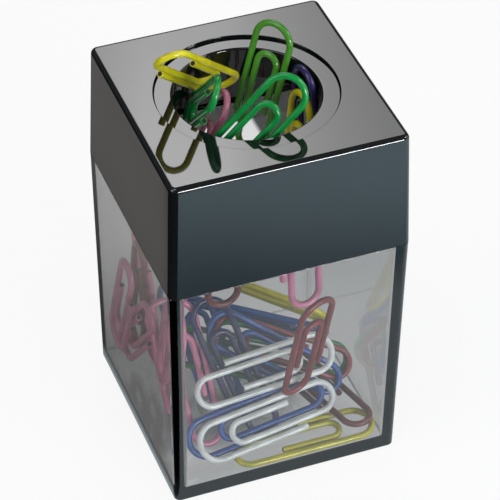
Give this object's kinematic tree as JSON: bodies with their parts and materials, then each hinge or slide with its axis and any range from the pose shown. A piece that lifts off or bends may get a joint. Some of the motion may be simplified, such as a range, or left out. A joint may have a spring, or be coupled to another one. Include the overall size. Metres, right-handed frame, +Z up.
{
  "type": "magnetic paper clip holder",
  "caption": "Square clear tub of vinyl-coated wire paper clips under a black lift-off cap, with a ring magnet round the cap's hole that holds clips ready to pull out.",
  "frame": {"origin": "middle of the tub's flat underside, on the table", "axes": "+Z up through the clip hole, the front wall faces -Y, +X to the right seen from the front"},
  "size_m": [0.0446, 0.0446, 0.086],
  "materials": {
    "clear_smoke_plastic": "clear, lightly smoke tinted, polished",
    "black_gloss_plastic": "polished",
    "ferrite": "ground, matt",
    "vinyl_white": "smooth vinyl coat on steel wire",
    "vinyl_yellow": "smooth vinyl coat on steel wire",
    "vinyl_green": "smooth vinyl coat on steel wire",
    "vinyl_light_green": "smooth vinyl coat on steel wire",
    "vinyl_pink": "smooth vinyl coat on steel wire",
    "vinyl_red": "smooth vinyl coat on steel wire",
    "vinyl_blue": "smooth vinyl coat on steel wire",
    "vinyl_purple": "smooth vinyl coat on steel wire",
    "vinyl_brown": "smooth vinyl coat on steel wire"
  },
  "bodies": {
    "tub": {"clear_body": "clear_smoke_plastic", "clip_white_lower": "vinyl_white", "clip_white_upper": "vinyl_white", "clip_blue_lower": "vinyl_blue", "clip_purple_slope": "vinyl_purple", "clip_pink_slope": "vinyl_pink", "clip_blue_slope": "vinyl_blue", "clip_green_upper": "vinyl_green", "clip_red_right": "vinyl_red", "clip_green_lower": "vinyl_green", "clip_blue_left": "vinyl_blue", "clip_yellow_floor": "vinyl_yellow", "clip_brown_right": "vinyl_brown", "clip_yellow_crest": "vinyl_yellow", "clip_blue_ridge": "vinyl_blue", "clip_pink_left": "vinyl_pink", "clip_pink_middle": "vinyl_pink", "clip_brown_back": "vinyl_brown", "clip_pink_back": "vinyl_pink", "clip_pink_corner": "vinyl_pink", "clip_red_standing": "vinyl_red"},
    "cap_group": {"cap": "black_gloss_plastic", "hole_sleeve": "black_gloss_plastic", "ring_magnet": "ferrite", "clip_held_pink": "vinyl_pink", "clip_held_purple": "vinyl_purple", "clip_held_yellow_right": "vinyl_yellow", "clip_hanging_pink": "vinyl_pink", "clip_hanging_brown": "vinyl_brown"},
    "yellow_tall_clip": {"clip_held_yellow_tall": "vinyl_yellow"},
    "green_left_clip": {"clip_held_green_left": "vinyl_green"},
    "light_green_clip": {"clip_held_light_green": "vinyl_light_green"},
    "green_front_clip": {"clip_held_green_front": "vinyl_green"}
  },
  "joints": [
    {"name": "cap_lift", "type": "slide", "parent": "tub", "child": "cap_group", "axis": [0, 0, 1], "range_m": [0, 0.035]},
    {"name": "yellow_tall_clip_pull", "type": "slide", "parent": "cap_group", "child": "yellow_tall_clip", "axis": [-0.5856, -0.4575, 0.6691], "range_m": [0, 0.03]},
    {"name": "green_left_clip_pull", "type": "slide", "parent": "cap_group", "child": "green_left_clip", "axis": [-0.0493, -0.7054, 0.7071], "range_m": [0, 0.03]},
    {"name": "light_green_clip_pull", "type": "slide", "parent": "cap_group", "child": "light_green_clip", "axis": [0.2048, -0.0361, 0.9781], "range_m": [0, 0.03]},
    {"name": "green_front_clip_pull", "type": "slide", "parent": "cap_group", "child": "green_front_clip", "axis": [0.631, -0.1227, 0.766], "range_m": [0, 0.03]}
  ]
}
